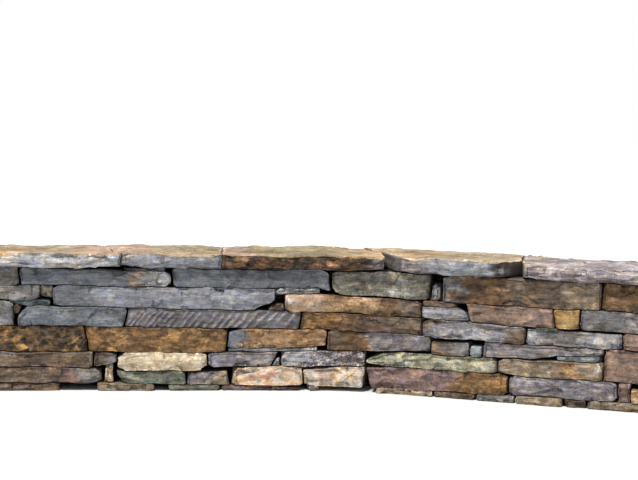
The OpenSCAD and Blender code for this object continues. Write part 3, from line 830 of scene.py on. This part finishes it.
def dress(node):
    """The final points and triangles of a node, and what its finish needs on each point."""
    s = stones(node)
    choose_rock(s)
    if not s.rubble:
        close_joints(s)
        strike_flakes(s)
    for work in (wear_edges, split_faces, cut_ribs, cut_in):
        work(s)
    on_points = {
        "main": s.look[:, MAIN], "second": s.look[:, SECOND], "stain": s.look[:, STAIN],
        "habit": s.look[:, HABIT], "rough": s.look[:, ROUGH], "grain": s.grain,
        "edge": s.washed * (1 - s.joint) if s.cap else s.washed,
        "grime": grime(s), "rib": s.rib, "facet": s.tone,
    }
    return s.co, s.tri, on_points


co, tri, on_points = dress("cap_1")
print("cap_1:", len(co), "points and", len(tri), "triangles")

# %% [markdown]
# ## From arrays to an object
# Adding points one at a time in Python takes minutes for a wall like this. foreach_set
# copies whole arrays into a mesh at once. Smooth shading suits split stone here, because
# the facets are larger than the triangles.

# %% Object
def to_object(node, co, tri, on_points):
    """A Blender object from points, triangles and the numbers kept on the points."""
    me = bpy.data.meshes.new(node + "_stone")
    me.vertices.add(len(co))
    me.vertices.foreach_set("co", co.astype(np.float32).ravel())
    me.loops.add(len(tri) * 3)
    me.loops.foreach_set("vertex_index", tri.astype(np.int32).ravel())
    me.polygons.add(len(tri))
    me.polygons.foreach_set("loop_start", np.arange(len(tri), dtype=np.int32) * 3)
    me.polygons.foreach_set("use_smooth", np.ones(len(tri), bool))
    me.update(calc_edges=True)
    for name, values in on_points.items():
        single = values.ndim == 1
        layer = me.attributes.new(name, "FLOAT" if single else "FLOAT_VECTOR", "POINT")
        layer.data.foreach_set("value" if single else "vector", values.astype(np.float32).ravel())
    ob = bpy.data.objects.new(node + "_stone", me)
    bpy.context.scene.collection.objects.link(ob)
    return ob


print("numbers kept on each point:", ", ".join(on_points))

# %% [markdown]
# ## A short way to write a material
# One material can colour every stone, because the points carry the tones. It could be
# wired by hand in the shader editor, where a big tree soon becomes hard to follow.
# In a script, each node takes several lines. So a few helpers are named after what they
# do, and the recipe for the rock then reads like a formula.

# %% Material helpers
class Recipe:
    """A material in the making. Each helper adds a node and returns its output."""

    def __init__(self, name):
        self.material = bpy.data.materials.new(name)
        self.material.use_nodes = True
        self.tree = self.material.node_tree
        self.tree.nodes.clear()

    def node(self, kind, **values):
        """A new node with some of its settings."""
        n = self.tree.nodes.new(kind)
        for k, v in values.items():
            setattr(n, k, v)
        return n

    def put(self, socket, value):
        """Links an output to a socket, or sets a plain value on it."""
        if isinstance(value, bpy.types.NodeSocket):
            self.tree.links.new(value, socket)
        else:
            socket.default_value = value

    def fill(self, n, values):
        """Puts values on the first sockets of a node and returns its first output."""
        for socket, value in zip(n.inputs, values):
            self.put(socket, value)
        return n.outputs[0]

    def kept(self, key, out="Fac"):
        """Numbers that are kept on the points."""
        return self.node("ShaderNodeAttribute", attribute_name=key).outputs[out]


print("helpers:", ", ".join(k for k in vars(Recipe) if not k.startswith("_")))

# %% [markdown]
# ## Arithmetic and noise in the recipe
# Most of a rock's look is a sum of small effects: a little darker here, a little browner
# there. A colour ramp can make each one, but its stops are tedious to set from a script.
# A smooth map range does the same with four numbers, and noise is stretched so that it
# runs along the bedding.

# %% Recipe arithmetic
class RockRecipe(Recipe):
    """The helpers with which the rock is mixed."""

    def calc(self, op, *values):
        return self.fill(self.node("ShaderNodeMath", operation=op), values)

    def times(self, a, b):
        return self.calc("MULTIPLY", a, b)

    def scaled(self, x, by, plus):
        """x times a number, plus another."""
        return self.calc("MULTIPLY_ADD", x, by, plus)

    def habit(self, place):
        """How banded (0), stained (1) or speckled (2) the kind of rock is."""
        n = self.node("ShaderNodeSeparateXYZ")
        self.put(n.inputs[0], self.kept("habit", "Vector"))
        return n.outputs[place]

    def spread(self, x, low, high, a=0.0, b=1.0):
        """a where x is below low, b above high and smooth in between."""
        n = self.node("ShaderNodeMapRange", interpolation_type="SMOOTHSTEP")
        return self.fill(n, (x, low, high, a, b))

    def field(self, scale, detail=4.0, rough=0.6, twist=0.0, stretch=None):
        """Noise in the grain of the stone, which may be stretched."""
        vector = self.kept("grain", "Vector")
        if stretch:
            n = self.node("ShaderNodeVectorMath", operation="MULTIPLY")
            vector = self.fill(n, (vector, stretch))
        n = self.node("ShaderNodeTexNoise")
        values = {"Vector": vector, "Scale": scale, "Detail": detail, "Roughness": rough}
        for key, value in values.items():
            self.put(n.inputs[key], value)
        self.put(n.inputs["Distortion"], twist)
        return n.outputs["Fac"]

    def mix(self, t, a, b, kind="MIX"):
        """Colour a where t is 0 and colour b where it is 1."""
        n = self.node("ShaderNodeMix", data_type="RGBA", blend_type=kind)
        for k, value in ((0, t), (6, a), (7, b)):
            self.put(n.inputs[k], value)
        return n.outputs[2]


print("more helpers:", ", ".join(k for k in vars(RockRecipe) if not k.startswith("_")))

# %% [markdown]
# ## The colour of the rock
# Seen close, a stone is never one colour. Two tones mingle in clouds, and water that seeped
# through the rock left a stain along some of it. A broken facet tends to one of the tones,
# because it lies in another bed. Over that, iron has browned some patches and left others
# cool and blue, which ties the stones of a wall together.

# %% Colour
COOL, RUSTY = (0.93, 0.985, 1.09, 1), (1.10, 1.0, 0.82, 1)
STAIN_SOFTNESS = 0.17


def rock_color(r):
    """Two tones in clouds, the stain of the kind, and iron in patches."""
    cloud = r.field(26, 7, 0.66, 0.15, (1, 1, 2.4))
    by_facet = r.times(r.calc("SUBTRACT", r.kept("facet"), 0.5), 0.14)
    second = r.spread(r.calc("ADD", cloud, by_facet), 0.42, 0.60)
    color = r.mix(second, r.kept("main", "Color"), r.kept("second", "Color"))
    blot = r.field(17, 7, 0.66, 0.2, (1, 1, 1.6))
    limit = r.calc("SUBTRACT", 0.62, r.times(r.habit(1), 0.20))
    stained = r.spread(blot, limit, r.calc("ADD", limit, STAIN_SOFTNESS))
    color = r.mix(stained, color, r.kept("stain", "Color"))
    iron = r.spread(r.field(24, 6, 0.68, 0.5, (1, 1, 1.7)), 0.38, 0.62)
    amount = r.scaled(r.kept("rough"), 0.7, 0.4)
    return r.mix(amount, color, r.mix(iron, COOL, RUSTY), "MULTIPLY")


trial = RockRecipe("trial")
rock_color(trial)
print("colour nodes:", len(trial.tree.nodes))
bpy.data.materials.remove(trial.material)

# %% [markdown]
# ## Light and dark on a face
# Fine dark lines follow the bedding, crystals speckle the rock, cracks stay dark, and
# where an edge broke lately the rock shows fresh and light. Upper edges and the ridges of
# the ribs also get a painted highlight, and hollows, lower edges and the grooves between
# the ribs get painted shade. Each could be a layer of paint with its own mask. Here they
# are factors on one brightness, so they add up without hiding each other, and each can be
# turned off alone. A factor of 1 changes nothing, and most of them are 1 plus or minus a
# share.

# %% Bands, streaks, cracks and patches
def bands(r, strata):
    """Thin lighter and darker bands, as strong as the kind of rock is banded."""
    return r.scaled(r.spread(strata, 0.34, 0.66, -0.5, 0.5), r.times(r.habit(0), 0.88), 1.0)


def streaks(r):
    """Lighter streaks along the bedding."""
    return r.spread(r.field(1.0, 4, 0.6, 0.8, (18, 18, 110)), 0.58, 0.72, 1.0, 1.30)


def cracks(r):
    """Dark lines where a broad noise passes its middle."""
    middle = r.calc("SUBTRACT", r.field(14, 5, 0.6, 0.3, (1, 1, 3.2)), 0.5)
    return r.spread(r.calc("ABSOLUTE", middle), 0.0, 0.014, 0.55, 1.0)


def patches(r):
    """Broad light and dark patches, calmer on smooth rock."""
    patch = r.spread(r.field(13, 4, 0.6, 0.3, (1, 1, 1.8)), 0.34, 0.66, -0.24, 0.22)
    return r.scaled(patch, r.scaled(r.kept("rough"), 0.9, 0.5), 1.0)


trial = RockRecipe("trial")
cracks(trial)
print("nodes for the cracks:", len(trial.tree.nodes))
bpy.data.materials.remove(trial.material)

# %% Brightness
def brightness(r, strata, cloud, dots):
    """How much lighter or darker than its colour the rock is."""
    edge, rough = r.kept("edge"), r.kept("rough")
    speckle = r.scaled(r.habit(2), 2.2, 1.1)
    # fresh rock on broken edges, and a painted highlight on the upper ones
    fresh_and_lit = r.times(r.spread(edge, 0.12, 0.7), r.spread(cloud, 0.38, 0.58))
    uneven = r.spread(cloud, 0.30, 0.70, -0.5, 0.5)
    factors = {
        "bands": bands(r, strata),
        "streaks": streaks(r),
        "crystals": r.scaled(r.calc("SUBTRACT", dots, 0.5), speckle, 1.0),
        "facets": r.scaled(r.kept("facet"), 0.46, 0.79),
        "cracks": cracks(r),
        "clouds": r.scaled(uneven, r.scaled(rough, 0.70, 0.14), 1.0),
        "patches": patches(r),
        "fresh edges": r.scaled(fresh_and_lit, 0.80, 1.0),
        # painted shade in hollows and under lower edges
        "painted hollow shade": r.spread(edge, -0.45, 0.0, 0.62, 1.0),
        # painted highlight on the ridges of the ribs, painted shade in their grooves
        "lit ribs": r.scaled(r.kept("rib"), 0.85, 0.94),
    }
    light = 1.0
    for factor in factors.values():
        light = r.times(light, factor)
    return light


trial = RockRecipe("trial")
brightness(trial, *[trial.field(48) for _ in range(3)])
print("brightness nodes:", len(trial.tree.nodes))
bpy.data.materials.remove(trial.material)

# %% [markdown]
# ## The finish
# Split stone is matt, a little smoother where it is dense. The finest grit is too small
# for the mesh, so a bump fakes it: the bands, the crystals and the clouds tilt the
# surface without moving it. Inside the joints the colour is pulled towards a dark brown,
# a painted shade that evens out all the tones.

# %% Material
# the dark brown of the painted shade in the joints
PAINTED_SHADE_TONE = (0.060, 0.048, 0.038, 1)


def stone_material(name):
    """The one material of all the stones."""
    r = RockRecipe(name)
    strata = r.field(1.0, 5, 0.62, 0.6, (9, 9, 170))
    cloud, dots = r.field(48, 5, 0.65), r.field(230, 4, 0.75)
    light = r.fill(r.node("ShaderNodeCombineColor"), [brightness(r, strata, cloud, dots)] * 3)
    color = r.mix(1.0, rock_color(r), light, "MULTIPLY")
    relief = r.scaled(strata, 0.5, r.calc("ADD", dots, r.times(cloud, 1.5)))
    bump = r.node("ShaderNodeBump")
    shader = r.node("ShaderNodeBsdfPrincipled")
    for n, key, value in (
        (bump, "Strength", 0.7), (bump, "Distance", 0.0018), (bump, "Height", relief),
        # painted shade: the base colour turns dark brown deep in the joints
        (shader, "Base Color", r.mix(r.kept("grime"), color, PAINTED_SHADE_TONE)),
        (shader, "Roughness", r.spread(cloud, 0.3, 0.7, 0.92, 0.7)),
        (shader, "Specular IOR Level", 0.3), (shader, "Normal", bump.outputs[0]),
    ):
        r.put(n.inputs[key], value)
    r.put(r.node("ShaderNodeOutputMaterial").inputs[0], shader.outputs[0])
    return r.material


rock = stone_material("split_stone")
print("material nodes:", len(rock.node_tree.nodes))

# %% [markdown]
# ## Build every stone
# The steps above now run for each node of the solid model. The dressed piece stands for
# its solid from here on.

# %% Build
total = 0
for name in sorted(FACES):
    co, tri, on_points = dress(name)
    piece = to_object(name, co, tri, on_points)
    piece.data.materials.append(rock)
    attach(piece, "root")
    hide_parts(name)
    total += len(tri)
    print(f"{name}: {len(tri)} triangles")
print("triangles in all:", total)

# %% [markdown]
# ## A floor for the shadow
# A wall without a shadow seems to float. A plane much wider than the picture takes it,
# painted so pale that it fades into the white behind the wall. It lies a hair below the
# stones, because two surfaces at the same height would flicker.

# %% Floor
bpy.ops.mesh.primitive_plane_add(size=60, location=(0, 0, -0.0005))
floor = bpy.context.object
floor.name = "floor"
paint = bpy.data.materials.new("floor_paint")
paint.use_nodes = True
paint.node_tree.nodes["Principled BSDF"].inputs["Base Color"].default_value = (0.82, 0.82, 0.82, 1)
paint.node_tree.nodes["Principled BSDF"].inputs["Roughness"].default_value = 0.95
floor.data.materials.append(paint)
print("floor:", tuple(floor.dimensions.xy), "m")

# %% [markdown]
# ## Open sky
# Under an open sky, light comes from everywhere and fills the shadows with a cool tone.
# A sky picture would do, but it would also show behind the wall. The background is
# therefore two skies in one: a soft blue one that lights the stones, and a white one
# that only the camera and mirrors see.

# %% Sky
world = bpy.data.worlds.new("sky")
bpy.context.scene.world = world
world.use_nodes = True
tree = world.node_tree
tree.nodes.clear()


def sky(color, strength):
    """An even sky of one colour."""
    n = tree.nodes.new("ShaderNodeBackground")
    n.inputs[0].default_value, n.inputs[1].default_value = color, strength
    return n


ray = tree.nodes.new("ShaderNodeLightPath")
seen = tree.nodes.new("ShaderNodeMath")
seen.operation = "MAXIMUM"
tree.links.new(ray.outputs["Is Camera Ray"], seen.inputs[0])
tree.links.new(ray.outputs["Is Glossy Ray"], seen.inputs[1])
both = tree.nodes.new("ShaderNodeMixShader")
tree.links.new(seen.outputs[0], both.inputs[0])
tree.links.new(sky((0.90, 0.95, 1.0, 1), 0.62).outputs[0], both.inputs[1])
tree.links.new(sky((1, 1, 1, 1), 1.0).outputs[0], both.inputs[2])
tree.links.new(both.outputs[0], tree.nodes.new("ShaderNodeOutputWorld").inputs[0])
print("sky nodes:", len(tree.nodes))

# %% [markdown]
# ## Sun behind thin cloud
# Relief only shows when light rakes over it. One sun from the upper left does that, and
# its wide disc gives the shadows the soft rim they have under thin cloud. A lamp near
# the wall would light the left end more than the right.

# %% Sun
sun = bpy.data.objects.new("sun", bpy.data.lights.new("sun", "SUN"))
sun.data.energy = 3.5
sun.data.angle = math.radians(9)
sun.data.color = (1.0, 0.97, 0.92)
toward_sun = Vector((-0.50, -0.72, 1.35)).normalized()
sun.rotation_mode = "QUATERNION"
sun.rotation_quaternion = toward_sun.to_track_quat("Z", "Y")
bpy.context.scene.collection.objects.link(sun)
print("sun height:", round(math.degrees(math.asin(toward_sun.z))), "degrees")

# %% [markdown]
# ## Camera
# The wall was seen from about five metres, slightly from above, through a long lens that
# keeps its courses nearly parallel. The camera could be placed by eye. Here its place and
# its three angles were worked out first, so that foot, courses and caps fall where they
# should in the picture, and the numbers are only put in.

# %% Camera
IMAGE_WIDTH, FOCAL = 638, 1600
YAW, PITCH, ROLL = -0.11566, 0.08612, 0.02078
EYE = (0.6334 - MIDDLE[0], -5.1106 - MIDDLE[1], 0.9377)
level = Vector((math.cos(YAW), math.sin(YAW), 0))
forward = Vector((-math.sin(YAW), math.cos(YAW), 0))
view = forward * math.cos(PITCH) - Vector((0, 0, math.sin(PITCH)))
upright = level.cross(view)
right = level * math.cos(ROLL) + upright * math.sin(ROLL)
top = upright * math.cos(ROLL) - level * math.sin(ROLL)
camera = bpy.data.objects.new("camera", bpy.data.cameras.new("camera"))
camera.matrix_world = Matrix.Translation(EYE) @ Matrix((right, top, -view)).transposed().to_4x4()
camera.data.sensor_width = 36
camera.data.lens = 36 * FOCAL / IMAGE_WIDTH
camera.data.clip_end = 100
bpy.context.scene.collection.objects.link(camera)
bpy.context.scene.camera = camera
bpy.context.scene.view_settings.view_transform = "Standard"
print("camera at", [round(v, 3) for v in EYE], "with a", round(camera.data.lens), "mm lens")

# %% [markdown]
# ## The size of the wall
# Split faces, flakes and wander must not make the wall larger than its solid model,
# because other parts are placed by that size.
